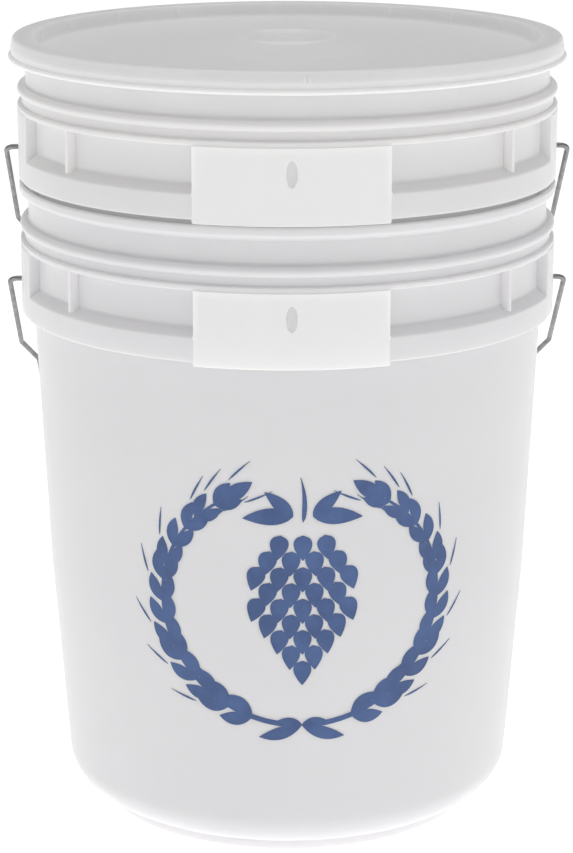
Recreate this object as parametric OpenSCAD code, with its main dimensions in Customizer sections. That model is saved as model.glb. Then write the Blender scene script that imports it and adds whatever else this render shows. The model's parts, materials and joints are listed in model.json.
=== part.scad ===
// Plastic fermenting bucket set: two identical tapered pails, one nested in the other, with one
// gasketed press-on lid and two swinging wire bails with plastic grips.
// Millimetres, +Z up, origin at the centre of the outer pail's foot.

/* [Pail] */
// Height of one pail, from its foot to the top of its rim
pail_h = 369.4; // [368:0.1:371]
// Radius of the rim, the flange rings, the label pads and the ears
band_r = 153.5; // [153:0.1:153.8]
// Radius of the foot ring
foot_r = 112.2; // [110:0.1:114]
// Wall thickness
wall_t = 2.2; // [2:0.1:2.4]
// Height of the inner pail's foot above the outer pail's foot
nest_h = 77; // [76.8:0.1:80]

/* [Lid] */
// Largest radius of the lid, at its pull bead
lid_r = 158; // [157.6:0.1:158.4]
// Thickness of the lid's top and panel
lid_t = 2; // [1.6:0.1:2.4]
// Depth of the recessed panel below the lid's rim
panel_drop = 8; // [6:0.5:9]

/* [Bail] */
// Diameter of the bail wire
wire_d = 3; // [2.8:0.1:3.1]
// Reach from the pivots to the middle of the grip
bail_reach = 218; // [217:1:222]
// Angle at which the bails hang behind the pails, below horizontal
bail_angle = 38; // [36:1:41]
// Radius of the grip's end collars
grip_r = 10.5; // [9:0.5:10.5]
// Length of the grip
grip_l = 92; // [80:1:94]

/* [Hidden] */
$fn = 128;

// Pail wall and base
wall_r = [131.4, 139.7, 146.4];      // outer radius of the wall at the heights below
wall_z = [28.3, 142, 292];
corner_r = 22.1;                     // outer radius of the corner between wall and floor
corner_c = wall_r[0] - corner_r;     // radius at which that corner is centred
foot_h = 6.2;
foot_t = 3.5;
floor_t = 2.4;

// Pail flanges, from the top down
rim_top_r = 1.5;                     // rounding of the rim's outer top edge
rim_bead_r = 2.4;                    // rounding of the rim's underside
rim_h = 7.4;
mouth_r = band_r - 2.6;              // inner radius at the very top of the flared mouth
neck_r = band_r - 4.9;
neck_in_r = neck_r - 1.7;
bead_r = 3;                          // cross-section radius of the bead ring
bead_z = pail_h - 24.4;
notch_r = band_r - 2.5;
ring_top_z = pail_h - 32.4;          // thin flange ring
ring_t = 3;
ring_z = ring_top_z - ring_t;
channel_r = band_r - 6.3;
flange_z = ring_z - 21;              // foot of the channel, where the lower flange starts
flange_slope = 4.5;
skirt_z = pail_h - 74.4;             // lower edge of the flange's skirt
panel_t = 2;                         // thickness of skirt, pad and ear panels

// Pads and ears
body_gap = 0.3;                      // clearance between pieces that rest on one another
pad_z = pail_h - nest_h + body_gap;  // the pads' lower edge, which stands on the other pail's rim
pad_half = 20;                       // half of the angle that a label pad covers
ear_half = 18;
ear_low_z = skirt_z + 0.2;
ear_slope = 8;                       // how far the ear's ribs taper in and down below its panel
gusset_angle = 38;
hook_room = 4.3;                     // half angle over which the flange is left out at an ear
hook_floor = 4.5;                    // height of that room's floor above the skirt's lower edge
mark_w = 7;                          // oval mark pressed into each pad
mark_h = 15;
mark_depth = 0.6;
mark_lift = 7;                       // height of the mark above the middle of its pad

// Bail pivots
pivot_z = pail_h - 59.9;
fit_gap = 0.1;                       // radial clearance of the wire in the ears and grips
pivot_hole_r = wire_d / 2 + fit_gap;

// Lid, in the inner pail's own heights
rim_gap = 0.4;                       // clearance of the lid's skirt outside the rim
lid_top_z = pail_h + 4.8;
lid_low_z = pail_h - 7.6;
lid_side_r = lid_r - 1.5;
lid_bead_r = 1.4;
lid_bead_z = lid_low_z + lid_bead_r + 0.1;
lid_edge_r = lid_r - 2.4;
lid_in_r = band_r - 10;              // inner edge of the lid's raised rim
plug_r = band_r - 7.7;
plug_z = pail_h - 8.9;
panel_z = lid_top_z - panel_drop;
boss_low_r = 54;                     // raised middle of the panel
boss_top_r = 30;
boss_h = 5.6;
dish_r = 26;
gate_r = 9.5;
rim_ribs = 20;

// Gasket
gasket_w = 5;
gasket_z = pail_h + body_gap;
gasket_h = lid_top_z - lid_t - gasket_z;

// Bail wire path in its own plane: distance along X, then distance from the pivot line
hook_x = 149.7;
hook_l = 5;
arm_x = 161;
waist_x = 152.3;
shoulder = 89;
waist = 115;
grip_seat = 51;
bail_path = [
    [hook_x, -hook_l], [hook_x, 0], [arm_x, 0], [arm_x, shoulder], [waist_x, waist],
    [waist_x, bail_reach - 10], [grip_seat, bail_reach]
];
bail_bends = [0, 2.2, 5, 10, 10, 48, 20];
bend_swell = 0.04;                   // the wire is this much fatter where it is bent
bend_lap = 0.2;                      // the straight lengths run this far into the bends

function arc(cx, cz, r, a0, a1, n = 6) =
    [for (i = [0:n]) let (a = a0 + (a1 - a0) * i / n) [cx + r * cos(a), cz + r * sin(a)]];

function wall_in(i) = wall_r[i] - wall_t;

// Half section of the pail, out from the floor's middle, up the outside and down the inside
function pail_outline() =
    let (foot_a = -acos((foot_r - corner_c) / corner_r),
         corner_in = corner_r - floor_t)
    concat(
        [[0, foot_h], [foot_r - foot_t, foot_h], [foot_r - foot_t, 0], [foot_r, 0]],
        arc(corner_c, wall_z[0], corner_r, foot_a, 0, 10),
        [[wall_r[1], wall_z[1]], [wall_r[2], wall_z[2]]],
        [[channel_r - 0.3, flange_z - 3.3], [band_r - panel_t, flange_z - flange_slope - 1.9]],
        [[band_r - panel_t, skirt_z], [band_r, skirt_z], [band_r, flange_z - flange_slope]],
        [[channel_r, flange_z], [channel_r, ring_z]],
        arc(band_r - 0.9, ring_z + 0.9, 0.9, -90, 0, 3),
        arc(band_r - 0.9, ring_top_z - 0.9, 0.9, 0, 90, 3),
        [[notch_r, ring_top_z + 0.4]],
        arc(band_r - bead_r - 0.1, bead_z, bead_r, -78, 108, 12),
        [[neck_r, bead_z + bead_r + 1.2], [neck_r, pail_h - rim_h - 0.8]],
        arc(band_r - rim_bead_r, pail_h - rim_h + 3.4, rim_bead_r, -75, 0, 5),
        arc(band_r - rim_top_r, pail_h - rim_top_r, rim_top_r, 0, 90, 5),
        [[mouth_r + 0.6, pail_h], [mouth_r, pail_h - 0.8], [neck_in_r + 0.1, pail_h - 8.4]],
        [[neck_in_r - 0.1, bead_z], [channel_r - 1.9, ring_z]],
        [[wall_in(2), wall_z[2]], [wall_in(1), wall_z[1]]],
        arc(corner_c, wall_z[0], corner_in, 0, -90, 10),
        [[0, wall_z[0] - corner_in]]
    );

// A curved panel that stands between radius r0 and r1, centred on the angle mid
module arc_panel(r0, r1, z0, z1, half, mid) {
    rotate([0, 0, mid - half])
        rotate_extrude(angle = 2 * half)
            translate([r0, z0])
                square([r1 - r0, z1 - z0]);
}

// A flat rib that stands out from the wall at an angle, with its lower corner cut to a slope
module radial_rib(angle, z0, z1, thick, slope = 0) {
    root = wall_r[2] - 0.8;
    tip = band_r - 0.4;
    rotate([0, 0, angle])
        translate([0, thick / 2, 0])
            rotate([90, 0, 0])
                linear_extrude(thick)
                    polygon([[root, z0 - slope], [root + 0.4, z0 - slope], [tip, z0], [tip, z1], [root, z1]]);
}

module oval_mark() {
    travel = (mark_h - mark_w) / 2;
    translate([band_r - mark_depth, 0, (pad_z + ring_z) / 2 + mark_lift])
        rotate([0, 90, 0]) {
            for (side = [-1, 1])
                translate([side * travel, 0, 0])
                    cylinder(h = 3, d = mark_w);
            translate([-travel, -mark_w / 2, 0])
                cube([2 * travel, mark_w, 3]);
        }
}

module label_pad(angle) {
    difference() {
        arc_panel(band_r - panel_t, band_r, pad_z, ring_z + 0.5, pad_half, angle);
        rotate([0, 0, angle])
            oval_mark();
    }
    for (step = [-1, -1 / 3, 1 / 3, 1])
        radial_rib(angle + step * (pad_half - 0.5), pad_z, ring_z + 0.5, 2);
}

module bail_ear(angle) {
    difference() {
        arc_panel(band_r - panel_t, band_r, ear_low_z, ring_z + 0.5, ear_half, angle);
        rotate([0, 0, angle])
            translate([band_r - 2 * panel_t, 0, pivot_z])
                rotate([0, 90, 0])
                    cylinder(h = 3 * panel_t, r = pivot_hole_r);
    }
    for (step = [-1, -0.5, 0.5, 1])
        radial_rib(angle + step * (ear_half - 0.5), ear_low_z, ring_z + 0.5, 2, ear_slope);
    radial_rib(angle, ear_low_z, pivot_z - 13, 2, ear_slope);
}

// The room in which the wire's hooked end turns; the ear's panel closes its outer side again
module hook_pocket(angle) {
    rotate([0, 0, angle - hook_room])
        rotate_extrude(angle = 2 * hook_room)
            polygon([
                [channel_r + 0.05, flange_z + 1], [channel_r - 0.25, flange_z - 3.4],
                [channel_r - 0.25, skirt_z + hook_floor], [band_r + 1, skirt_z + hook_floor],
                [band_r + 1, flange_z + 1]
            ]);
}

module pail() {
    difference() {
        rotate_extrude()
            polygon(pail_outline());
        for (side = [0, 180])
            hook_pocket(side);
    }
    for (side = [0, 180]) {
        label_pad(side - 90);
        bail_ear(side);
        for (sign = [-1, 1])
            radial_rib(side + sign * gusset_angle, flange_z - 2, ring_z + 0.5, 2);
    }
}

module outer_bucket() {
    color([0.85, 0.85, 0.84])
        pail();
}

module inner_bucket() {
    color([0.86, 0.86, 0.85])
        translate([0, 0, nest_h])
            pail();
}

// Half section of the lid, from the middle of its panel out, down the skirt and back underneath
function lid_outline() =
    concat(
        [[0, panel_z + boss_h - 1.4], [gate_r - 0.6, panel_z + boss_h - 1.4], [gate_r, panel_z + boss_h - 0.5]],
        [[dish_r, panel_z + boss_h - 0.5]],
        arc(dish_r + 2, panel_z + boss_h - 0.5, 1.4, 150, 30, 5),
        [[boss_top_r + 0.6, panel_z + boss_h - 0.6], [boss_low_r, panel_z + 0.4], [boss_low_r + 1.5, panel_z]],
        [[lid_in_r - 3.2, panel_z], [lid_in_r - 1.6, panel_z + 0.9], [lid_in_r - 1, panel_z + 2.6]],
        [[lid_in_r, lid_top_z - 0.6], [lid_in_r + 0.6, lid_top_z]],
        arc(lid_edge_r - 1.8, lid_top_z - 1.8, 1.8, 90, 20, 5),
        [[lid_side_r, lid_low_z + 6.1], [lid_side_r - 0.4, lid_low_z + 3.2]],
        arc(lid_r - lid_bead_r, lid_bead_z, lid_bead_r, 75, -70, 8),
        [[lid_side_r - 0.6, lid_low_z], [band_r + rim_gap, lid_low_z], [band_r + rim_gap, lid_top_z - lid_t]],
        [[plug_r, lid_top_z - lid_t], [plug_r, plug_z + 1.4], [plug_r - 1, plug_z], [plug_r - 3.4, plug_z]],
        [[plug_r - 4, panel_z - lid_t], [boss_low_r - 0.5, panel_z - lid_t]],
        [[boss_top_r - 1.5, panel_z + boss_h - 0.6 - lid_t], [gate_r + 1, panel_z + boss_h - 0.6 - lid_t]],
        [[gate_r, panel_z + boss_h - 1.4 - lid_t], [0, panel_z + boss_h - 1.4 - lid_t]]
    );

// Low upright ribs around the inside of the lid's raised rim
module rim_rib(angle) {
    rotate([0, 0, angle])
        translate([lid_in_r - 1.9, -0.8, panel_z - 0.5])
            cube([2.6, 1.6, panel_drop - 0.6]);
}

module lid() {
    color([0.83, 0.83, 0.83])
        translate([0, 0, nest_h])
            union() {
                rotate_extrude()
                    polygon(lid_outline());
                for (i = [0:rim_ribs - 1])
                    rim_rib((i + 0.5) * 360 / rim_ribs);
            }
}

module lid_gasket() {
    color([0.45, 0.46, 0.48])
        translate([0, 0, nest_h])
            rotate_extrude()
                translate([band_r - gasket_w, gasket_z])
                    square([gasket_w, gasket_h]);
}

// Wire bent along a flat path: a straight rod between bends and part of a torus at each bend
function heading(a, b) = atan2(b[1] - a[1], b[0] - a[0]);
function wrap(a) = a > 180 ? a - 360 : (a < -180 ? a + 360 : a);
function turn_at(p, i) = wrap(heading(p[i], p[i + 1]) - heading(p[i - 1], p[i]));
function trim_at(p, r, i) = i == 0 || i == len(p) - 1 ? 0 : r[i] * tan(abs(turn_at(p, i)) / 2);

module bent_wire(p, r, d) {
    last = len(p) - 1;
    for (i = [0:last - 1]) {
        dir = heading(p[i], p[i + 1]);
        lead = trim_at(p, r, i);
        span = norm(p[i + 1] - p[i]) - lead - trim_at(p, r, i + 1);
        into_last = i > 0 ? bend_lap : 0;
        into_next = i < last - 1 ? bend_lap : 0;
        translate([p[i][0], p[i][1], 0])
            rotate([0, 0, dir])
                translate([lead, 0, 0]) {
                    translate([-into_last, 0, 0])
                        rotate([0, 90, 0])
                            cylinder(h = span + into_last + into_next, d = d, $fn = 32);
                    if (i < last - 1)
                        translate([span, 0, 0])
                            wire_bend(turn_at(p, i + 1), r[i + 1], d + bend_swell);
                }
    }
}

// A bend that starts at the origin along +X and turns left, or right where the turn is negative
module wire_bend(turn, r, d) {
    side = sign(turn);
    translate([0, side * r, 0])
        rotate([0, 0, turn > 0 ? -90 : 90 + turn])
            rotate_extrude(angle = abs(turn))
                translate([r, 0])
                    circle(d = d, $fn = 32);
}

// Puts a shape drawn in the bail's own plane at the pivot, hanging down behind the pail
module hang_at(z) {
    translate([0, 0, z])
        rotate([-bail_angle, 0, 0])
            children();
}

module bail_wire(z) {
    far = [for (i = [len(bail_path) - 1:-1:0]) [-bail_path[i][0], bail_path[i][1]]];
    far_bends = [for (i = [len(bail_bends) - 1:-1:0]) bail_bends[i]];
    color("silver")
        hang_at(z)
            bent_wire(concat(bail_path, far), concat(bail_bends, far_bends), wire_d);
}

function grip_outline() =
    let (half = grip_l / 2, bore = wire_d / 2 + fit_gap, waist_r = grip_r - 1.2)
    [
        [bore, -half], [grip_r - 1, -half], [grip_r, 1 - half], [grip_r, 4 - half], [waist_r, 5.5 - half],
        [waist_r, half - 5.5], [grip_r, half - 4], [grip_r, half - 1], [grip_r - 1, half], [bore, half]
    ];

module bail_grip(z) {
    color([0.92, 0.92, 0.9])
        hang_at(z)
            translate([0, bail_reach, 0])
                rotate([0, 90, 0])
                    rotate_extrude()
                        polygon(grip_outline());
}

outer_bucket();
inner_bucket();
lid();
lid_gasket();
bail_wire(pivot_z + nest_h);  // upper_bail_wire
bail_grip(pivot_z + nest_h);  // upper_bail_grip
bail_wire(pivot_z);  // lower_bail_wire
bail_grip(pivot_z);  // lower_bail_grip
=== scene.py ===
"""A plastic fermenting bucket set: two nested natural-white pails, a lid with its gasket, two wire bails.

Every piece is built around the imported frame: its corners give the places, and the millimetre values below
give the mouldings' own detail. Lengths are millimetres, and MM turns them into metres; the camera, the floor
and the lights are in metres.
"""

import json
import math

import bmesh
import bpy
from mathutils import Matrix, Vector


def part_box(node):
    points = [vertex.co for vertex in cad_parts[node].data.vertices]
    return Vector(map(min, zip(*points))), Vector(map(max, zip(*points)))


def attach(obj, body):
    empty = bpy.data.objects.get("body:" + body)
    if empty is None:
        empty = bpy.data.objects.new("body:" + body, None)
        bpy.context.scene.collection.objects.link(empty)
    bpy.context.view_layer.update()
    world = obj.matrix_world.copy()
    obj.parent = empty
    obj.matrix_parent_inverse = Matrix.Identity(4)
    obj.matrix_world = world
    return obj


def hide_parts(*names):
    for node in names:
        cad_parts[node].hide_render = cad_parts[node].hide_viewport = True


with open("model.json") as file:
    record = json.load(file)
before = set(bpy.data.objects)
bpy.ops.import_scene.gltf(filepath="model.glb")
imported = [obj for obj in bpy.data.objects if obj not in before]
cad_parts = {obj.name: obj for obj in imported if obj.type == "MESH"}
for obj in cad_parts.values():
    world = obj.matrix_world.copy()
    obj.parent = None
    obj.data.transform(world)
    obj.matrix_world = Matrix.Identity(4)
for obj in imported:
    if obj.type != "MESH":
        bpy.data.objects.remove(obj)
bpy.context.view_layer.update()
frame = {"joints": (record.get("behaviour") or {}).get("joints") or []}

MM = 0.001

# ---------------------------------------------------------------------------------------------- frame
_, PAIL_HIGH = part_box("outer_bucket")
INNER_LOW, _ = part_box("inner_bucket")
_, LID_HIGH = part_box("lid")
BAND_R = PAIL_HIGH.x / MM                     # rim, flanges, pads and ears
PAIL_H = PAIL_HIGH.z / MM
NEST_H = INNER_LOW.z / MM                     # the inner pail stands this much higher
LID_TOP = LID_HIGH.z / MM - NEST_H            # in the inner pail's own heights
LID_R = LID_HIGH.x / MM - 0.02                # a hair inside the frame's box
JOINTS = {joint["name"]: joint for joint in frame["joints"]}


def joint_point(name):
    """A hinge's place, in millimetres."""
    return Vector(JOINTS[name]["pos_m"]) / MM


UPPER_PIVOT = joint_point("upper_bail_swing")
LOWER_PIVOT = joint_point("lower_bail_swing")
PIVOT_Z = LOWER_PIVOT.z
GRIP_REACH = joint_point("lower_grip_spin") - LOWER_PIVOT     # from the pivot line to the middle of the grip


# --------------------------------------------------------------------------------------------- camera
CAMERA_TURN = math.radians(0.9)               # round the pails, from the front towards -X
CAMERA_DISTANCE = 1.5446                      # metres from the pails' axis
CAMERA_HEIGHT = 0.6484                        # metres above the floor
CAMERA_PITCH = math.radians(15.516)           # down from level
CAMERA_LENS = 114.8
CAMERA_SHIFT = -0.00106
SENSOR_WIDTH = 36
SIGHT_LIMIT = 200                             # metres, well past the edge of the floor


def add_camera():
    """Stands in front of the pails, a little above the lid, and looks down at them."""
    data = bpy.data.cameras.new("camera")
    data.lens = CAMERA_LENS
    data.sensor_width = SENSOR_WIDTH
    data.shift_x = CAMERA_SHIFT
    data.clip_end = SIGHT_LIMIT
    camera = bpy.data.objects.new("camera", data)
    bpy.context.scene.collection.objects.link(camera)
    side = -math.sin(CAMERA_TURN) * CAMERA_DISTANCE
    back = -math.cos(CAMERA_TURN) * CAMERA_DISTANCE
    camera.location = (side, back, CAMERA_HEIGHT)
    camera.rotation_euler = (math.pi / 2 - CAMERA_PITCH, 0, -CAMERA_TURN)
    bpy.context.scene.camera = camera


# --------------------------------------------------------------------------------------- mesh helpers
ROUND_STEPS = 3               # steps in each rounded corner of a section
ROUND_SHARE = 0.45            # the most of an edge that one rounded corner may take
ROUND_COLUMNS = 180           # columns in a full turn


def make_object(name, mesh):
    """An object in the scene, with that mesh."""
    piece = bpy.data.objects.new(name, mesh)
    bpy.context.scene.collection.objects.link(piece)
    return piece


def mesh_from(name, points, faces):
    """A mesh of points in millimetres."""
    mesh = bpy.data.meshes.new(name)
    mesh.from_pydata([Vector(p) * MM for p in points], [], faces)
    mesh.update()
    return mesh


def combine(name, parts):
    """One mesh from several (points, faces) pairs."""
    points, faces = [], []
    for part_points, part_faces in parts:
        first = len(points)
        points.extend(part_points)
        faces.extend([tuple(first + i for i in face) for face in part_faces])
    return mesh_from(name, points, faces)


def face_outwards(piece):
    """Makes each closed shell's normals point out."""
    work = bmesh.new()
    work.from_mesh(piece.data)
    bmesh.ops.recalc_face_normals(work, faces=work.faces)
    work.to_mesh(piece.data)
    work.free()


def finish_shading(piece, sharp_angle=34):
    """Smooth shading, with creases kept where faces meet at more than the angle."""
    work = bmesh.new()
    work.from_mesh(piece.data)
    limit = math.radians(sharp_angle)
    for face in work.faces:
        face.smooth = True
    for edge in work.edges:
        edge.smooth = len(edge.link_faces) == 2 and edge.calc_face_angle(0) < limit
    work.to_mesh(piece.data)
    work.free()
    normals = piece.modifiers.new("weighted_normals", "WEIGHTED_NORMAL")
    normals.keep_sharp = True
    normals.weight = 80


def merge(piece, other, operation):
    """Joins other to piece, or cuts it out of it, and removes other."""
    step = piece.modifiers.new("merge", "BOOLEAN")
    step.operation = operation
    step.solver = "MANIFOLD"
    step.object = other
    graph = bpy.context.evaluated_depsgraph_get()
    made = bpy.data.meshes.new_from_object(piece.evaluated_get(graph))
    piece.modifiers.clear()
    piece.data = made
    bpy.data.objects.remove(other)


def polar(radius, angle, z):
    """A point at that radius and angle, in degrees from +X."""
    a = math.radians(angle)
    return (radius * math.cos(a), radius * math.sin(a), z)


def arc(x, z, radius, start, end, steps):
    """Points of a circular arc in a section, which rounded() leaves as they are."""
    angles = [math.radians(start + (end - start) * i / steps) for i in range(steps + 1)]
    return [(x + radius * math.cos(a), z + radius * math.sin(a), 0) for a in angles]


def rounded(corners):
    """A section's points, with each corner (r, z, reach) rounded over its reach on both sides."""
    points = []
    for i, (x, z, reach) in enumerate(corners):
        here = Vector((x, z))
        if reach == 0 or i in (0, len(corners) - 1):
            points.append(here)
            continue
        before = Vector(corners[i - 1][:2]) - here
        after = Vector(corners[i + 1][:2]) - here
        reach = min(reach, ROUND_SHARE * before.length, ROUND_SHARE * after.length)
        start = here + before.normalized() * reach
        end = here + after.normalized() * reach
        for step in range(ROUND_STEPS + 1):
            t = step / ROUND_STEPS
            points.append(start.lerp(here, t).lerp(here.lerp(end, t), t))
    return points


def revolve(section):
    """A closed solid of revolution from a section that starts and ends on the axis."""
    angles = [360 * j / ROUND_COLUMNS for j in range(ROUND_COLUMNS)]
    return sweep_sections([(section, [angle] * len(section)) for angle in angles])


def sweep_sections(columns):
    """A closed solid from half sections round the axis: each is (points, each point's angle)."""
    start = columns[0][0][0]
    end = columns[0][0][-1]
    points = [(0, 0, start.y)]
    for section, angles in columns:
        points.extend(polar(p.x, a, p.y) for p, a in zip(section[1:-1], angles[1:-1]))
    points.append((0, 0, end.y))
    rows = len(columns[0][0]) - 2
    last = len(points) - 1
    faces = []
    for j in range(len(columns)):
        here = 1 + j * rows
        after = 1 + (j + 1) % len(columns) * rows
        faces.append((0, after, here))
        faces.append((last, here + rows - 1, after + rows - 1))
        faces.extend((here + k, after + k, after + k + 1, here + k + 1) for k in range(rows - 1))
    return points, faces


def ring_faces(here, after, around):
    """Faces between two rings of points, whose first points have these numbers."""
    ups = [(k + 1) % around for k in range(around)]
    return [(here + k, after + k, after + up, here + up) for k, up in enumerate(ups)]


def loop_faces(layers, around):
    """Faces of rings of points that close into a loop, as on a gasket or round a bored grip."""
    faces = []
    for layer in range(layers):
        faces += ring_faces(layer * around, (layer + 1) % layers * around, around)
    return faces


def stack_faces(layers, around):
    """Faces of a closed stack of rings, each with the same number of points, capped at both ends."""
    faces = [tuple(range(around)), tuple(reversed(range((layers - 1) * around, layers * around)))]
    for layer in range(layers - 1):
        faces += ring_faces(layer * around, (layer + 1) * around, around)
    return faces


def revolve_ring(section):
    """A closed ring from a closed section that doesn't touch the axis."""
    angles = [360 * j / ROUND_COLUMNS for j in range(ROUND_COLUMNS)]
    points = [polar(p.x, angle, p.y) for angle in angles for p in section]
    return points, loop_faces(ROUND_COLUMNS, len(section))


def plate(outline, angle, thickness, bevel=0.3):
    """A flat rib in the plane of a section at that angle, with its edges bevelled."""
    middle = Vector((sum(p[0] for p in outline), sum(p[1] for p in outline))) / len(outline)
    half = thickness / 2
    layers = [(-half, bevel), (bevel - half, 0), (half - bevel, 0), (half, bevel)]      # place, inset
    turn = Matrix.Rotation(math.radians(angle), 4, "Z")
    points = []
    for across, inset in layers:
        for x, z in outline:
            inward = (middle - Vector((x, z))).normalized() * inset
            points.append(tuple(turn @ Vector((x + inward.x, across, z + inward.y))))
    return points, stack_faces(len(layers), len(outline))


def closed_piece(name, parts):
    """An object from closed shells, with its normals pointing out."""
    piece = make_object(name, combine(name, parts))
    face_outwards(piece)
    return piece


def lift_piece(piece, height):
    """Moves a shape drawn at its own heights up by so many millimetres."""
    piece.data.transform(Matrix.Translation((0, 0, height * MM)))


# ------------------------------------------------------------------------------------------ materials
NOISE_LOW = 0.35              # most of a noise's values lie between these
NOISE_HIGH = 0.65


def new_material(name, color, roughness):
    """A material and its Principled shader, ready for the details."""
    material = bpy.data.materials.new(name)
    material.use_nodes = True
    shader = material.node_tree.nodes["Principled BSDF"]
    shader.inputs["Base Color"].default_value = (*color, 1)
    shader.inputs["Roughness"].default_value = roughness
    return material, shader


def object_place(material):
    """Object coordinates, the same in every view."""
    node = material.node_tree.nodes.new("ShaderNodeTexCoord")
    return node.outputs["Object"]


def scaled(material, vector, scale):
    """Coordinates stretched along each axis, for streaks."""
    node = material.node_tree.nodes.new("ShaderNodeMapping")
    node.inputs["Scale"].default_value = scale
    material.node_tree.links.new(vector, node.inputs["Vector"])
    return node.outputs["Vector"]


def noise(material, vector, scale, detail=3, roughness=0.5):
    """A cloudy value at each place."""
    node = material.node_tree.nodes.new("ShaderNodeTexNoise")
    node.inputs["Scale"].default_value = scale
    node.inputs["Detail"].default_value = detail
    node.inputs["Roughness"].default_value = roughness
    material.node_tree.links.new(vector, node.inputs["Vector"])
    return node.outputs["Fac"]


def spread(material, value, low, high, from_low=NOISE_LOW, from_high=NOISE_HIGH):
    """Maps a noise onto a range of values."""
    node = material.node_tree.nodes.new("ShaderNodeMapRange")
    node.inputs["From Min"].default_value = from_low
    node.inputs["From Max"].default_value = from_high
    node.inputs["To Min"].default_value = low
    node.inputs["To Max"].default_value = high
    material.node_tree.links.new(value, node.inputs["Value"])
    return node.outputs["Result"]


def vary_color(material, shader, value, first, second):
    """Lets the base colour wander between two colours with a noise."""
    share = spread(material, value, 0, 1)
    node = material.node_tree.nodes.new("ShaderNodeMix")
    node.data_type = "RGBA"
    node.inputs["A"].default_value = (*first, 1)
    node.inputs["B"].default_value = (*second, 1)
    material.node_tree.links.new(share, node.inputs["Factor"])
    material.node_tree.links.new(node.outputs["Result"], shader.inputs["Base Color"])


def vary_roughness(material, shader, value, low, high, from_low=NOISE_LOW, from_high=NOISE_HIGH):
    """Lets the roughness wander between two values with a noise."""
    rough = spread(material, value, low, high, from_low, from_high)
    material.node_tree.links.new(rough, shader.inputs["Roughness"])


def bump(material, shader, height, distance, strength=1.0, under=None):
    """Fine relief from a noise, on top of an earlier bump where there is one."""
    node = material.node_tree.nodes.new("ShaderNodeBump")
    node.inputs["Strength"].default_value = strength
    node.inputs["Distance"].default_value = distance
    material.node_tree.links.new(height, node.inputs["Height"])
    if under is not None:
        material.node_tree.links.new(under, node.inputs["Normal"])
    material.node_tree.links.new(node.outputs["Normal"], shader.inputs["Normal"])
    return node.outputs["Normal"]


def pail_plastic(name, color, deep, glow=0.08):
    """Natural polyethylene: milky, satin, with faint flow streaks, handling scuffs and a fine grain.

    The glow stands for the daylight that the translucent walls pass on into gaps and recesses.
    """
    material, shader = new_material(name, color, 0.34)
    where = object_place(material)
    cloud = noise(material, where, 9, 4)
    vary_color(material, shader, cloud, deep, color)
    scuffs = noise(material, scaled(material, where, (60, 60, 7)), 4, 6, 0.7)
    vary_roughness(material, shader, scuffs, 0.28, 0.42, 0.4, 0.7)
    grain = noise(material, where, 900, 2)
    waves = noise(material, scaled(material, where, (1, 1, 0.25)), 14, 2)
    fine = bump(material, shader, grain, 0.00002, 0.5)
    bump(material, shader, waves, 0.0006, 0.35, fine)
    shader.inputs["Subsurface Weight"].default_value = 0.9
    shader.inputs["Subsurface Radius"].default_value = (1.0, 0.97, 0.94)
    shader.inputs["Subsurface Scale"].default_value = 0.005
    shader.inputs["Emission Color"].default_value = (*color, 1)
    shader.inputs["Emission Strength"].default_value = glow
    shader.inputs["IOR"].default_value = 1.5
    shader.inputs["Specular IOR Level"].default_value = 0.45
    return material


def foam_rubber():
    """Dark matte foam with fine open cells."""
    material, shader = new_material("foam_rubber", (0.16, 0.165, 0.18), 0.85)
    cells = noise(material, object_place(material), 1400, 3)
    bump(material, shader, cells, 0.00015, 0.8)
    vary_color(material, shader, cells, (0.12, 0.125, 0.135), (0.2, 0.205, 0.22))
    return material


def galvanised_steel():
    """Bright drawn wire with a zinc coat: fine lengthwise streaks and dull patches."""
    material, shader = new_material("galvanised_steel", (0.24, 0.24, 0.25), 0.4)
    where = object_place(material)
    patches = noise(material, where, 160, 4, 0.6)
    vary_color(material, shader, patches, (0.25, 0.252, 0.26), (0.33, 0.33, 0.34))
    vary_roughness(material, shader, patches, 0.46, 0.34)
    shader.inputs["Metallic"].default_value = 0.9
    streaks = noise(material, scaled(material, where, (300, 1800, 1800)), 1, 3)
    bump(material, shader, streaks, 0.00004, 0.5)
    return material


def blue_ink():
    """Screen-printed ink with slightly uneven cover."""
    material, shader = new_material("blue_ink", (0.05, 0.105, 0.27), 0.5)
    where = object_place(material)
    cover = noise(material, where, 55, 6, 0.65)
    vary_color(material, shader, cover, (0.045, 0.09, 0.24), (0.075, 0.14, 0.33))
    vary_roughness(material, shader, cover, 0.42, 0.6)
    bump(material, shader, noise(material, where, 700, 3), 0.00002, 0.4)
    return material


# ----------------------------------------------------------------------------------------------- pail
WALL_T = 2.2
WALL = [(131.4, 28.3), (139.7, 142.0), (146.4, 292.0)]      # outer radius of the wall at a height
LOW_ROWS = (60, 100)                                         # extra mesh rows on the wall's lower stretch
HIGH_ROWS = (180, 220, 260)                                  # and on its upper one
FLOOR_T = 2.4
CORNER_R = 22.1                                              # between the wall and the floor
CORNER_X = WALL[0][0] - CORNER_R
CORNER_Z = WALL[0][1]
FOOT_R = 112.2
FOOT_T = 3.5
FOOT_H = 6.2
RING_TOP = PAIL_H - 32.4                                     # thin flange ring
RING_Z = RING_TOP - 3
RIB_TOP = RING_Z + 0.5                                       # the ribs end inside the thin ring
FLANGE_Z = RING_Z - 21
SKIRT_Z = PAIL_H - 74.4
PAD_Z = PAIL_H - NEST_H + 0.3
EAR_Z = SKIRT_Z + 0.2
EAR_FOOT_Z = EAR_Z - 8                                       # where the ribs behind the ears start
CHANNEL_R = BAND_R - 6.3
PANEL_IN_R = BAND_R - 2
BAND_FOOT_R = 146.9                                          # the wall under the plain band's flange
PANEL_ROOT_R = 147.1                                         # the wall at the top of a panel's pocket
BEAD_X = BAND_R - 3.1                                        # middle of the bead ring's round edge
BEAD_Z = PAIL_H - 24.4
BEAD_R = 3
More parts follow.
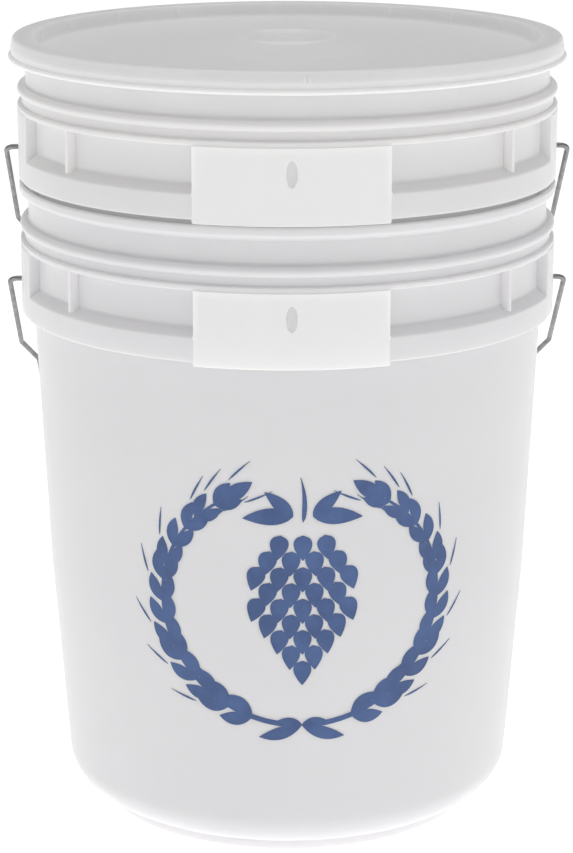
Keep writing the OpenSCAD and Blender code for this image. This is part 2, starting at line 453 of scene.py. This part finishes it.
NECK_R = BAND_R - 4.9
NECK_IN_R = NECK_R - 1.7
RIM_LOW_R = 2.4                                              # the rim's round edge, below
RIM_TOP_R = 1.5                                              # and above
PAD_HALF = 20                                                # degrees either side of a panel's middle
EAR_HALF = 18
PANELS = [("pad", -90, PAD_HALF), ("ear", 0, EAR_HALF), ("pad", 90, PAD_HALF), ("ear", 180, EAR_HALF)]
POCKET_CORNERS = 3                                           # how many of a panel's corners line its pocket
RIB_T = 2
RIB_ROOT = BAND_R - 8
RIB_TIP = BAND_R - 0.4
GUSSET = 38                                                  # degrees from the ear
MARK_Z = (PAD_Z + RING_Z) / 2 + 7                            # middle of a pad's oval dish
HOLE_R = 1.6

# Angles of the mesh's columns, in degrees.
COLUMN_STEP = 2
BAND_MARGIN = 1.5             # from a panel's end to the first column of the plain band
SIDE_WALL = 0.75              # what a panel's closed side takes, about 2 mm
EDGE = 0.12                   # half of the step between two kinds of section


def wall_radius(z):
    """Outer radius of the pail's wall at its own height z."""
    (r0, z0), (r1, z1), (r2, z2) = WALL
    if z < z1:
        return r0 + (r1 - r0) * (z - z0) / (z1 - z0)
    return r1 + (r2 - r1) * (z - z1) / (z2 - z1)


def wall_corners():
    """Out along the underside, round the foot and up the wall."""
    foot_angle = -math.degrees(math.acos((FOOT_R - CORNER_X) / CORNER_R))
    foot_in_r = FOOT_R - FOOT_T
    corners = [(0, FOOT_H, 0), (foot_in_r, FOOT_H, 1.0), (foot_in_r, 0, 0.6), (FOOT_R, 0, 0.8)]
    corners += arc(CORNER_X, CORNER_Z, CORNER_R, foot_angle, 0, 12)
    corners += [(wall_radius(z), z, 0) for z in LOW_ROWS]
    corners += [(*WALL[1], 0)]
    corners += [(wall_radius(z), z, 0) for z in HIGH_ROWS]
    corners += [(*WALL[2], 0.3)]
    return corners


def band_corners(kind):
    """Between the wall and the thin ring, where plain band, label pads and ears differ."""
    if kind == "band":
        return [
            (BAND_FOOT_R, FLANGE_Z - 3.3, 0.8), (PANEL_IN_R, FLANGE_Z - 6.4, 0.8),
            (PANEL_IN_R, SKIRT_Z, 0.5), (BAND_R, SKIRT_Z, 0.6), (BAND_R, FLANGE_Z - 4.5, 0.9),
            (CHANNEL_R, FLANGE_Z, 1.2), (CHANNEL_R, RING_Z, 1.0), (BAND_R, RING_Z, 0.7),
        ]
    low = PAD_Z if kind == "pad" else EAR_Z
    return [
        (PANEL_ROOT_R, RING_Z - 3, 0.8), (PANEL_IN_R, RING_Z - 3, 0.8), (PANEL_IN_R, low, 0.5),
        (BAND_R, low, 0.6), (BAND_R, FLANGE_Z - 4.5, 0.9), (BAND_R, FLANGE_Z, 1.2),
        (BAND_R, RING_Z - 0.1, 0.35), (BAND_R - 0.35, RING_Z + 0.25, 0.2),
    ]


def rim_corners():
    """From the thin ring over the bead ring and up the neck to the top of the rim."""
    corners = [(BAND_R, RING_TOP, 0.8), (BAND_R - 2.5, RING_TOP + 0.4, 0.3)]
    corners += arc(BEAD_X, BEAD_Z, BEAD_R, -78, 108, 14)
    corners += [(NECK_R, BEAD_Z + 4.2, 0.6), (NECK_R, PAIL_H - 8.2, 0.6)]
    corners += arc(BAND_R - RIM_LOW_R, PAIL_H - 4, RIM_LOW_R, -75, 0, 6)
    corners += arc(BAND_R - RIM_TOP_R, PAIL_H - RIM_TOP_R, RIM_TOP_R, 0, 90, 6)
    return corners


def inside_corners():
    """Down the inside, from the rim to the middle of the floor."""
    corners = [(BAND_R - 2.6, PAIL_H - 0.8, 0.4)]
    corners += [(NECK_IN_R + 0.1, PAIL_H - 8.4, 0.8), (NECK_IN_R - 0.1, BEAD_Z, 0.8)]
    corners += [(CHANNEL_R - 1.9, RING_Z, 0.8)]
    corners += [(x - WALL_T, z, 0.8) for x, z in reversed(WALL[1:])]
    corners += arc(CORNER_X, CORNER_Z, CORNER_R - FLOOR_T, 0, -90, 12)
    corners += [(0, CORNER_Z - CORNER_R + FLOOR_T, 0)]
    return corners


def pail_section(kind):
    """Half section of a pail, and for each of its points whether it lies in the pocket behind a panel."""
    low = wall_corners()
    band = band_corners(kind)
    points = rounded(low + band + rim_corners() + inside_corners())
    first = len(rounded(low + band[:1])) - 1
    last = first + (ROUND_STEPS + 1) * POCKET_CORNERS
    in_pocket = [first <= i < last for i in range(len(points))]
    return points, in_pocket


def plain_angles(start, end):
    """Angles of the plain band's columns between two panels."""
    free = end - start - 2 * BAND_MARGIN
    steps = round(free / COLUMN_STEP)
    return [start + BAND_MARGIN + free * k / steps for k in range(steps + 1)]


def panel_columns():
    """(kind, angle of the outside, angle inside the pockets) round the pail, in order."""
    columns = []
    for i, (kind, middle, half) in enumerate(PANELS):
        start = middle - half
        end = middle + half
        _, next_middle, next_half = PANELS[(i + 1) % len(PANELS)]
        next_start = next_middle - next_half + (360 if i == len(PANELS) - 1 else 0)
        columns.append((kind, start + EDGE, start + SIDE_WALL + EDGE))
        columns.extend((kind, angle, angle) for angle in range(start + COLUMN_STEP, end, COLUMN_STEP))
        columns.append((kind, end - EDGE, end - SIDE_WALL - EDGE))
        columns.append(("band", end + EDGE, end - SIDE_WALL + EDGE))
        columns.extend(("band", angle, angle) for angle in plain_angles(end, next_start))
        columns.append(("band", next_start - EDGE, next_start + SIDE_WALL - EDGE))
    return columns


def straight_rib(low, angle):
    """A rib with an upright edge, between the wall and the band."""
    outline = [(RIB_ROOT, low), (RIB_TIP, low), (RIB_TIP, RIB_TOP), (RIB_ROOT, RIB_TOP)]
    return plate(outline, angle, RIB_T)


def ear_rib(high, angle):
    """A rib behind an ear, with a sloping foot."""
    outline = [(RIB_ROOT, EAR_FOOT_Z), (RIB_ROOT + 0.4, EAR_FOOT_Z), (RIB_TIP, EAR_Z + 0.1), (RIB_TIP, high),
               (RIB_ROOT, high)]
    return plate(outline, angle, RIB_T)


def pail_ribs():
    """The ribs that stiffen the band: gussets in the channel, and ribs behind the ears and the pads."""
    ribs = []
    for side in (0, 180):
        for turn in (-GUSSET, GUSSET):
            ribs.append(straight_rib(FLANGE_Z - 2, side + turn))
        for share in (-1, -0.5, 0.5, 1):
            ribs.append(ear_rib(RIB_TOP, side + share * (EAR_HALF - 0.5)))
        ribs.append(ear_rib(PIVOT_Z - 13, side))
        for share in (-1, -1 / 3, 1 / 3, 1):
            ribs.append(straight_rib(PAD_Z + 0.3, side - 90 + share * (PAD_HALF - 0.5)))
    return ribs


def oval_cutter(angle):
    """A shallow oval dish pressed into a label pad, with sloping sides."""
    half_w, half_h, depth = 3.5, 7.5, 0.6
    levels = [(-depth, 0.7), (-depth * 0.8, 0.5), (0.1, 0.0), (2.0, -0.1)]     # out of the face, narrower by
    steps = 40
    turn = Matrix.Rotation(math.radians(angle), 4, "Z")
    points = []
    for out, shrink in levels:
        for k in range(steps):
            a = 2 * math.pi * k / steps
            reach_y = (half_w - shrink) * math.cos(a)
            reach_z = (half_h - shrink) * math.sin(a)
            surface = math.sqrt(BAND_R ** 2 - reach_y ** 2)
            points.append(tuple(turn @ Vector((surface + out, reach_y, MARK_Z + reach_z))))
    return points, stack_faces(len(levels), steps)


def hole_cutter(side):
    """The pivot hole through an ear, with a small chamfer."""
    wide_r = HOLE_R + 0.4
    levels = [(BAND_R - 4, HOLE_R), (BAND_R - 0.4, HOLE_R), (BAND_R + 0.1, wide_r), (BAND_R + 1, wide_r)]
    steps = 32
    turn = Matrix.Rotation(math.radians(side), 4, "Z")
    points = []
    for x, radius in levels:
        for k in range(steps):
            a = 2 * math.pi * k / steps
            points.append(tuple(turn @ Vector((x, radius * math.cos(a), PIVOT_Z + radius * math.sin(a)))))
    return points, stack_faces(len(levels), steps)


def mark_pads(pail, lift):
    """Gives the faces of the label pads the second material: a copy of the pail plastic painted whiter and
    glowing more, as painted light for the thin pads with air behind them.
    """
    for face in pail.data.polygons:
        x, y, z = face.center / MM
        off_middle = math.degrees(math.atan2(abs(x), abs(y)))
        if math.hypot(x, y) > BAND_R - 0.5 and off_middle < PAD_HALF and PAD_Z < z - lift < RING_Z:
            face.material_index = 1


def build_pail(name, lift):
    """One pail, standing that many millimetres above the floor."""
    sections = {kind: pail_section(kind) for kind in ("band", "pad", "ear")}
    columns = []
    for kind, outside, inside in panel_columns():
        points, in_pocket = sections[kind]
        columns.append((points, [inside if pocket else outside for pocket in in_pocket]))
    pail = closed_piece(name, [sweep_sections(columns)])
    for rib in pail_ribs():
        merge(pail, closed_piece("rib", [rib]), "UNION")
    cutters = [oval_cutter(-90), oval_cutter(90), hole_cutter(0), hole_cutter(180)]
    merge(pail, closed_piece("cutters", cutters), "DIFFERENCE")
    lift_piece(pail, lift)
    finish_shading(pail)
    return pail


# ------------------------------------------------------------------------------------------------ lid
LID_T = 2
PANEL_Z = LID_TOP - 8
BOSS_TOP = PANEL_Z + 5.6                      # top of the round ring on the raised middle
BOSS_FLAT = BOSS_TOP - 0.5
BOSS_RING_R = 28
BOSS_FOOT_R = 55.5                            # where the raised middle slopes into the panel
DIMPLE_R = 9.5                                # round dimple in the very middle
DIMPLE_Z = BOSS_TOP - 1.4
PANEL_ROW_R = 100                             # an extra mesh row on the panel
LID_LOW = LID_TOP - 12.4
LID_SIDE_R = LID_R - 1.5
LID_IN_R = BAND_R - 10                        # inner edge of the raised rim
SKIRT_IN_R = BAND_R + 0.4
LIP_OUT_R = 145.8                             # lip that goes inside the pail's rim
LIP_LOW = PAIL_H - 8.9
RIM_RIBS = 20
RIM_RIB_T = 1.6
TICKS = (-87.7, -86.6)                        # two small raised marks on the skirt's front, in degrees
TICK_T = 1.1


def lid_top_corners():
    """Out from the middle over the raised boss and the panel to the top of the rim."""
    corners = [(0, DIMPLE_Z, 0), (DIMPLE_R - 0.6, DIMPLE_Z, 0.4), (DIMPLE_R, BOSS_FLAT, 0.3)]
    corners += [(BOSS_RING_R - 2, BOSS_FLAT, 0.3)]
    corners += arc(BOSS_RING_R, BOSS_FLAT, 1.4, 150, 30, 6)
    corners += [(BOSS_RING_R + 2.6, BOSS_TOP - 0.6, 0.4), (BOSS_FOOT_R - 1.5, PANEL_Z + 0.4, 0.8)]
    corners += [(BOSS_FOOT_R, PANEL_Z, 0.8), (PANEL_ROW_R, PANEL_Z, 0), (LID_IN_R - 3.2, PANEL_Z, 1.2)]
    corners += [(LID_IN_R - 1.4, PANEL_Z + 1.6, 1.2), (LID_IN_R, LID_TOP, 0.7)]
    corners += arc(LID_R - 4.2, LID_TOP - 1.8, 1.8, 90, 20, 6)
    return corners


def lid_skirt_corners():
    """Down the skirt and round the bead at its lower edge."""
    corners = [(LID_SIDE_R, LID_LOW + 6.1, 0.8), (LID_SIDE_R - 0.4, LID_LOW + 3.2, 0.3)]
    corners += arc(LID_R - 1.4, LID_LOW + 1.5, 1.4, 75, -70, 10)
    corners += [(LID_SIDE_R - 0.6, LID_LOW, 0.3), (SKIRT_IN_R, LID_LOW, 0.4)]
    return corners


def lid_under_corners():
    """Back underneath, through the gasket's channel and round the lip, to the middle."""
    channel_top = LID_TOP - LID_T
    panel_under = PANEL_Z - LID_T
    boss_under = BOSS_TOP - 2.6
    dimple_under = DIMPLE_Z - LID_T
    corners = [(SKIRT_IN_R, channel_top, 0.8), (LIP_OUT_R, channel_top, 0.8)]
    corners += [(LIP_OUT_R, LIP_LOW + 1.4, 0.8), (LIP_OUT_R - 1, LIP_LOW, 0.6)]
    corners += [(LIP_OUT_R - 3.4, LIP_LOW, 0.6)]
    corners += [(LIP_OUT_R - 4, panel_under, 0.8), (BOSS_FOOT_R - 2, panel_under, 0.8)]
    corners += [(BOSS_RING_R + 0.5, boss_under, 0.8), (DIMPLE_R + 1, boss_under, 0.6)]
    corners += [(DIMPLE_R, dimple_under, 0.4), (0, dimple_under, 0)]
    return corners


def rim_rib(angle):
    """A small rib on the inner side of the raised rim."""
    root = LID_IN_R - 1.9
    tip = LID_IN_R + 0.7
    low = PANEL_Z - 0.5
    high = PANEL_Z + 6.9
    return plate([(root, low), (tip, low), (tip, high), (root + 0.6, high)], angle, RIM_RIB_T)


def skirt_tick(angle):
    """A small raised mark on the outside of the skirt, thinner at its top."""
    root = LID_SIDE_R - 2
    low = LID_LOW + 6.4
    high = LID_LOW + 9.6
    outline = [(root, low), (LID_SIDE_R + 0.35, low), (LID_SIDE_R + 0.1, high), (root, high)]
    return plate(outline, angle, TICK_T)


def build_lid():
    """The lid, with small ribs round the inside of its rim and two marks on its skirt."""
    section = rounded(lid_top_corners() + lid_skirt_corners() + lid_under_corners())
    lid = closed_piece("lid_shell", [revolve(section)])
    for i in range(RIM_RIBS):
        merge(lid, closed_piece("rib", [rim_rib((i + 0.5) * 360 / RIM_RIBS)]), "UNION")
    for angle in TICKS:
        merge(lid, closed_piece("tick", [skirt_tick(angle)]), "UNION")
    lift_piece(lid, NEST_H)
    finish_shading(lid)
    return lid


def build_gasket():
    """The soft ring in the lid's channel, on the pail's rim."""
    low = PAIL_H + 0.3
    high = LID_TOP - LID_T
    inner = BAND_R - 5
    edge = 0.7
    corners = [(inner, low, edge), (BAND_R, low, edge), (BAND_R, high, edge), (inner, high, edge)]
    section = rounded([corners[-1], *corners, corners[0]])[1:-1]
    gasket = closed_piece("gasket_ring", [revolve_ring(section)])
    lift_piece(gasket, NEST_H)
    finish_shading(gasket)
    return gasket


# ---------------------------------------------------------------------------------------------- bails
WIRE_R = 1.5
BAIL_PATH = [(149.7, -5, 0), (149.7, 0, 2.2), (161, 0, 5), (161, 89, 10), (152.3, 115, 10), (152.3, 208, 48),
             (51, 218, 20)]                        # across, distance from the pivot line, bend radius
GRIP_HALF = 46
GRIP_R = 10.5
GRIP_BORE_R = 1.6
GRIP_RIDGES = 12
GRIP_SIDES = 96
BARREL_HALF = GRIP_HALF - 5.6                      # the ridged barrel between the two collars


def bend_points(corners, steps=10):
    """The line along a bent wire, with each corner turned at its own radius."""
    line = []
    for i, (x, y, radius) in enumerate(corners):
        here = Vector((x, y))
        if i in (0, len(corners) - 1):
            line.append(here)
            continue
        before = (Vector(corners[i - 1][:2]) - here).normalized()
        after = (Vector(corners[i + 1][:2]) - here).normalized()
        half = before.angle(after) / 2
        reach = radius / math.tan(half)
        middle = here + (before + after).normalized() * (radius / math.sin(half))
        start = here + before * reach - middle
        sweep = math.pi - 2 * half
        turn = 1 if start.cross(before) < 0 else -1
        for k in range(steps + 1):
            a = turn * sweep * k / steps
            spun = Vector((start.x * math.cos(a) - start.y * math.sin(a),
                           start.x * math.sin(a) + start.y * math.cos(a)))
            line.append(middle + spun)
    return line


def wire_tube(line, radius, sides=16):
    """A closed round tube along a flat line, with domed ends."""
    headings = []
    for i in range(len(line)):
        before = line[max(i - 1, 0)]
        after = line[min(i + 1, len(line) - 1)]
        headings.append((after - before).normalized())
    dome = [(0, 0.55), (0.25, 0.85), (0.7, 1)]           # distance from the end, share of the radius
    rings = [(line[0] + headings[0] * back, headings[0], radius * share) for back, share in dome]
    rings.extend((line[i], headings[i], radius) for i in range(1, len(line) - 1))
    for back, share in reversed(dome):
        rings.append((line[-1] - headings[-1] * back, headings[-1], radius * share))
    points = []
    for centre, heading, ring_r in rings:
        across = Vector((-heading.y, heading.x))
        for k in range(sides):
            a = 2 * math.pi * k / sides
            spot = centre + across * (ring_r * math.cos(a))
            points.append((spot.x, spot.y, ring_r * math.sin(a)))
    return points, stack_faces(len(rings), sides)


def hang(piece, pivot):
    """Puts a shape drawn in the bail's own plane on its pivots, hanging at the back."""
    droop = math.atan2(-GRIP_REACH.z, GRIP_REACH.y)
    piece.data.transform(Matrix.Translation(pivot * MM) @ Matrix.Rotation(-droop, 4, "X"))


def build_wire(name, pivot):
    """One bail's wire, bent the same on both sides."""
    corners = BAIL_PATH + [(-x, y, r) for x, y, r in reversed(BAIL_PATH)]
    wire = closed_piece(name, [wire_tube(bend_points(corners), WIRE_R)])
    hang(wire, pivot)
    finish_shading(wire, 50)
    return wire


def grip_radius(along, angle):
    """Outer radius of the grip: two end collars, and a barrel with soft lengthwise ridges."""
    if abs(along) > BARREL_HALF + 0.8:
        return GRIP_R
    ridge = 0.5 + 0.5 * math.cos(GRIP_RIDGES * angle)
    return GRIP_R - 1.5 + 0.9 * ridge ** 2


def grip_stations():
    """Places along the grip, end to end, each with the change in radius that rounds its edges."""
    collar = [(-GRIP_HALF, -1.0), (-GRIP_HALF + 0.3, -0.3), (-GRIP_HALF + 1, 0), (-GRIP_HALF + 4, 0),
              (-GRIP_HALF + 4.7, -0.2)]
    steps = 8
    barrel = [(-BARREL_HALF + 2 * BARREL_HALF * k / steps, 0) for k in range(steps + 1)]
    return collar + barrel + [(-x, trim) for x, trim in reversed(collar)]


def build_grip(name, pivot):
    """One bail's grip, bored through for the wire."""
    angles = [2 * math.pi * k / GRIP_SIDES for k in range(GRIP_SIDES)]
    rings = [(along, [grip_radius(along, a) + trim for a in angles]) for along, trim in grip_stations()]
    rings += [(along, [GRIP_BORE_R] * GRIP_SIDES) for along in (GRIP_HALF, -GRIP_HALF)]
    middle = GRIP_REACH.length
    points = []
    for along, radii in rings:
        points.extend((along, middle + r * math.cos(a), r * math.sin(a)) for a, r in zip(angles, radii))
    grip = closed_piece(name, [(points, loop_faces(len(rings), GRIP_SIDES))])
    hang(grip, pivot)
    finish_shading(grip, 40)
    return grip


# ---------------------------------------------------------------------------------------- front print
PRINT_ANGLE = 2.5             # degrees round from the front towards +X
PRINT_Z = 161
PRINT_R = 140                 # the radius at which widths are measured
PRINT_SCALE = 1.08            # from the drawing below to the pail
INK_T = 0.12
INK_ROOT = 0.05               # the ink starts this far inside the wall
STEM_STEPS = 40
STEM_HALF_W = 74              # half of the wreath's oval, across and up
STEM_HALF_H = 66
STEM_DROP = 4                 # the oval's middle lies this far under the print's
STEM_START = -84              # degrees round the oval, at the foot
STEM_SWEEP = 140
GRAIN_PAIRS = 14
GRAIN_L = 17.5
GRAIN_W = 7.4
GRAIN_LEAN = 31               # degrees that a grain leans away from the stem
AWN_L = 15
AWN_W = 1.1
AWN_LEAN = 14
HOP_ROWS = (3, 4, 5, 4, 5, 4, 3, 2, 1)        # scales in each row of the cone, from the top
HOP_TOP = 34                  # height of the top row
HOP_ACROSS = 11               # spacing of the scales in a row
HOP_DOWN = 8.5                # and of the rows
SCALE_L = 13.5
SCALE_W = 9.4
KNOT_V = -70                  # height of the knot at the wreath's foot
STALK_HALF_W = 0.15           # half of a leaf's width at its very start
TIP_HALF_W = 0.12             # and at its tip


def on_wall(u, v, out):
    """A point of the flat print, wrapped on the pail's wall."""
    angle = -90 + PRINT_ANGLE + math.degrees(u * PRINT_SCALE / PRINT_R)
    z = PRINT_Z + v * PRINT_SCALE
    return polar(wall_radius(z) + out, angle, z)


def direction(degrees):
    """The direction on the flat print at an angle from its u axis."""
    a = math.radians(degrees)
    return Vector((math.cos(a), math.sin(a)))


def stroke(centres, widths):
    """A closed thin patch of ink along a line, with its half width at each point."""
    points = []
    for i, centre in enumerate(centres):
        before = centres[max(i - 1, 0)]
        after = centres[min(i + 1, len(centres) - 1)]
        heading = (after - before).normalized()
        across = Vector((-heading.y, heading.x)) * widths[i]
        spots = (centre + across, centre, centre - across)
        for out in (INK_T, -INK_ROOT):
            points.extend(on_wall(spot.x, spot.y, out) for spot in spots)
    row = 6                   # points at each place: three on the outside and three inside the wall
    faces = []
    for i in range(len(centres) - 1):
        a = row * i
        b = a + row
        faces += [(a, a + 1, b + 1, b), (a + 1, a + 2, b + 2, b + 1)]
        faces += [(a + 3, b + 3, b + 4, a + 4), (a + 4, b + 4, b + 5, a + 5)]
        faces += [(a, b, b + 3, a + 3), (a + 2, a + 5, b + 5, b + 2)]
    for a in (0, row * (len(centres) - 1)):
        faces.append((a, a + 1, a + 2, a + 5, a + 4, a + 3))
    return points, faces


def leaf(base, heading, length, width, curl=0.0, fullness=0.5, steps=12):
    """A pointed leaf from its base along a heading in degrees, bending by curl degrees on the way."""
    centres = [Vector(base)]
    widths = [STALK_HALF_W]
    for k in range(1, steps + 1):
        t = k / steps
        centres.append(centres[-1] + direction(heading + curl * (t - 0.5 / steps)) * (length / steps))
        swell = math.sin(math.pi * t ** (0.5 + fullness)) ** 0.85 if t < 1 else 0
        widths.append(max(TIP_HALF_W, width / 2 * swell))
    return stroke(centres, widths)


def stem_line(side):
    """One half of the wreath's oval, from its foot up."""
    line = []
    for k in range(STEM_STEPS + 1):
        a = math.radians(STEM_START + STEM_SWEEP * k / STEM_STEPS)
        line.append(Vector((side * STEM_HALF_W * math.cos(a), STEM_HALF_H * math.sin(a) - STEM_DROP)))
    return line


def barley_branch(side):
    """One half of the wreath: a stem that climbs from the foot, with paired grains and some awns."""
    stem = stem_line(side)
    parts = [stroke(stem, [1.5 - 0.8 * k / STEM_STEPS for k in range(STEM_STEPS + 1)])]
    for i in range(GRAIN_PAIRS):
        k = 4 + round(i * (STEM_STEPS - 5) / (GRAIN_PAIRS - 1))
        along = stem[min(k + 1, STEM_STEPS)] - stem[k - 1]
        heading = math.degrees(math.atan2(along.y, along.x))
        grow = 1 - 0.2 * i / GRAIN_PAIRS
        for lean in (-1, 1):
            outward = heading + lean * GRAIN_LEAN
            start = stem[k] + direction(outward) * 1.5
            parts.append(leaf(start, outward, GRAIN_L * grow, GRAIN_W * grow, -lean * 26))
            if i % 2 == 1 or i > GRAIN_PAIRS - 4:
                tip = start + direction(heading + lean * 24) * 18.5 * grow
                parts.append(leaf(tip, heading + lean * AWN_LEAN, AWN_L, AWN_W, -lean * 8, 0.2, 6))
    parts.append(leaf(stem[-1], heading, 20, 8, 0))
    return parts


def hop_cone():
    """The hop in the middle: staggered rows of pointed scales, four leaves and a curved stalk."""
    parts = []
    for i, count in enumerate(HOP_ROWS):
        for k in range(count):
            across = (k - (count - 1) / 2) * HOP_ACROSS
            base = (across, HOP_TOP - i * HOP_DOWN)
            parts.append(leaf(base, -90 + 0.8 * across, SCALE_L, SCALE_W, 0, 0.15))
    for side in (-1, 1):
        for turn, length, width in ((42, 19, 7), (88, 25, 9)):
            parts.append(leaf((side * 5, 44), 90 - side * turn, length, width, -side * 10, 0.3))
    stalk = leaf((0, 41), 80, 24, 2.4, 26, 0.1)
    parts.append(stalk)
    return parts


def tie():
    """The knot where the two stems cross at the foot of the wreath."""
    parts = []
    for side in (-1, 1):
        parts.append(leaf((0, KNOT_V), 90 - side * 118, 24, 7, side * 22, 0.5))
        parts.append(leaf((0, KNOT_V), 90 - side * 68, 14, 5, -side * 30, 0.4))
    return parts


def build_print():
    """The blue emblem on the outer pail: a barley wreath round a hop cone."""
    patch = closed_piece("front_print", barley_branch(-1) + barley_branch(1) + hop_cone() + tie())
    finish_shading(patch, 60)
    return patch


# ---------------------------------------------------------------------------------------------- stage
FLOOR_HALF = 40               # metres
FLOOR_GLOW = 0.68
WORLD_STRENGTH = 0.41
LIGHT_AIM = (0, 0, 0.35)
LIGHTS = [                    # name, place, size in metres, watts
    ("left_softbox", (-1.5, -1.3, 0.6), (0.4, 1.1), 1.8),
    ("right_softbox", (1.5, -1.3, 0.6), (0.4, 1.1), 2.3),
    ("top_softbox", (0, 0.3, 2.2), (1.6, 1.2), 8.5),
]


def add_floor():
    """A wide white paper floor that glows a little, so that it stays as white as the background."""
    mesh = bpy.data.meshes.new("floor")
    corners = [(x * FLOOR_HALF, y * FLOOR_HALF, 0) for x, y in ((-1, -1), (1, -1), (1, 1), (-1, 1))]
    mesh.from_pydata(corners, [], [(0, 1, 2, 3)])
    floor = make_object("floor", mesh)
    material, shader = new_material("floor_paper", (0.86, 0.86, 0.86), 0.9)
    shader.inputs["Emission Color"].default_value = (1, 1, 1, 1)
    shader.inputs["Emission Strength"].default_value = FLOOR_GLOW
    floor.data.materials.append(material)


def add_area(name, location, size, watts):
    """A rectangular light that faces the pails."""
    data = bpy.data.lights.new(name, "AREA")
    data.shape = "RECTANGLE"
    data.size, data.size_y = size
    data.energy = watts
    lamp = bpy.data.objects.new(name, data)
    bpy.context.scene.collection.objects.link(lamp)
    lamp.location = location
    heading = Vector(LIGHT_AIM) - Vector(location)
    lamp.rotation_euler = heading.to_track_quat("-Z", "Y").to_euler()


def add_lights():
    """White surroundings and three soft lights."""
    world = bpy.data.worlds.new("studio")
    world.use_nodes = True
    background = world.node_tree.nodes["Background"]
    background.inputs["Color"].default_value = (1, 1, 1, 1)
    background.inputs["Strength"].default_value = WORLD_STRENGTH
    bpy.context.scene.world = world
    for light in LIGHTS:
        add_area(*light)


# ----------------------------------------------------------------------------------------------- main
def dress(piece, body, slot, materials, *nodes):
    """Gives a finished piece its materials, its body, and the CAD nodes that it stands for."""
    piece.data.materials.clear()
    for material in materials:
        piece.data.materials.append(material)
    if nodes:
        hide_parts(*nodes)
    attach(piece, body)


def add_pails():
    """The two pails, each with its own tint, and the same pads painted whiter and glowing more as painted
    light.
    """
    outer = pail_plastic("outer_pail_plastic", (0.765, 0.757, 0.768), (0.745, 0.737, 0.75))
    inner = pail_plastic("inner_pail_plastic", (0.785, 0.777, 0.775), (0.765, 0.757, 0.757))
    # painted light: the pads get a whiter copy of the pail plastic that glows more
    pads = pail_plastic("painted_light_pad_plastic", (0.92, 0.91, 0.9), (0.89, 0.88, 0.875), 0.11)
    for level, lift, plastic in (("outer", 0, outer), ("inner", NEST_H, inner)):
        pail = build_pail(f"{level}_pail", lift)
        node = f"{level}_bucket"
        dress(pail, node, f"{level}_pail_plastic", [plastic, pads], node)
        mark_pads(pail, lift)


def add_lid():
    """The lid and the gasket that moves with it."""
    white = pail_plastic("lid_plastic", (0.86, 0.85, 0.848), (0.84, 0.83, 0.83))
    dress(build_lid(), "lid", "lid_plastic", [white], "lid")
    dress(build_gasket(), "lid", "gasket_rubber", [foam_rubber()], "lid_gasket")


def add_bails():
    """Both bails: a wire and a grip for each pail."""
    white = pail_plastic("grip_plastic", (0.84, 0.84, 0.82), (0.81, 0.81, 0.79))
    steel = galvanised_steel()
    for level, pivot in (("upper", UPPER_PIVOT), ("lower", LOWER_PIVOT)):
        wire = build_wire(f"{level}_wire", pivot)
        dress(wire, f"{level}_bail", "bail_wire_steel", [steel], f"{level}_bail_wire")
        grip = build_grip(f"{level}_grip_roller", pivot)
        dress(grip, f"{level}_grip", "grip_plastic", [white], f"{level}_bail_grip")


def main():
    """Puts the whole scene together."""
    add_camera()
    add_pails()
    add_lid()
    add_bails()
    dress(build_print(), "outer_bucket", "front_print", [blue_ink()])
    add_floor()
    add_lights()
    settings = bpy.context.scene.view_settings
    settings.view_transform = "Standard"
    settings.look = "None"


main()
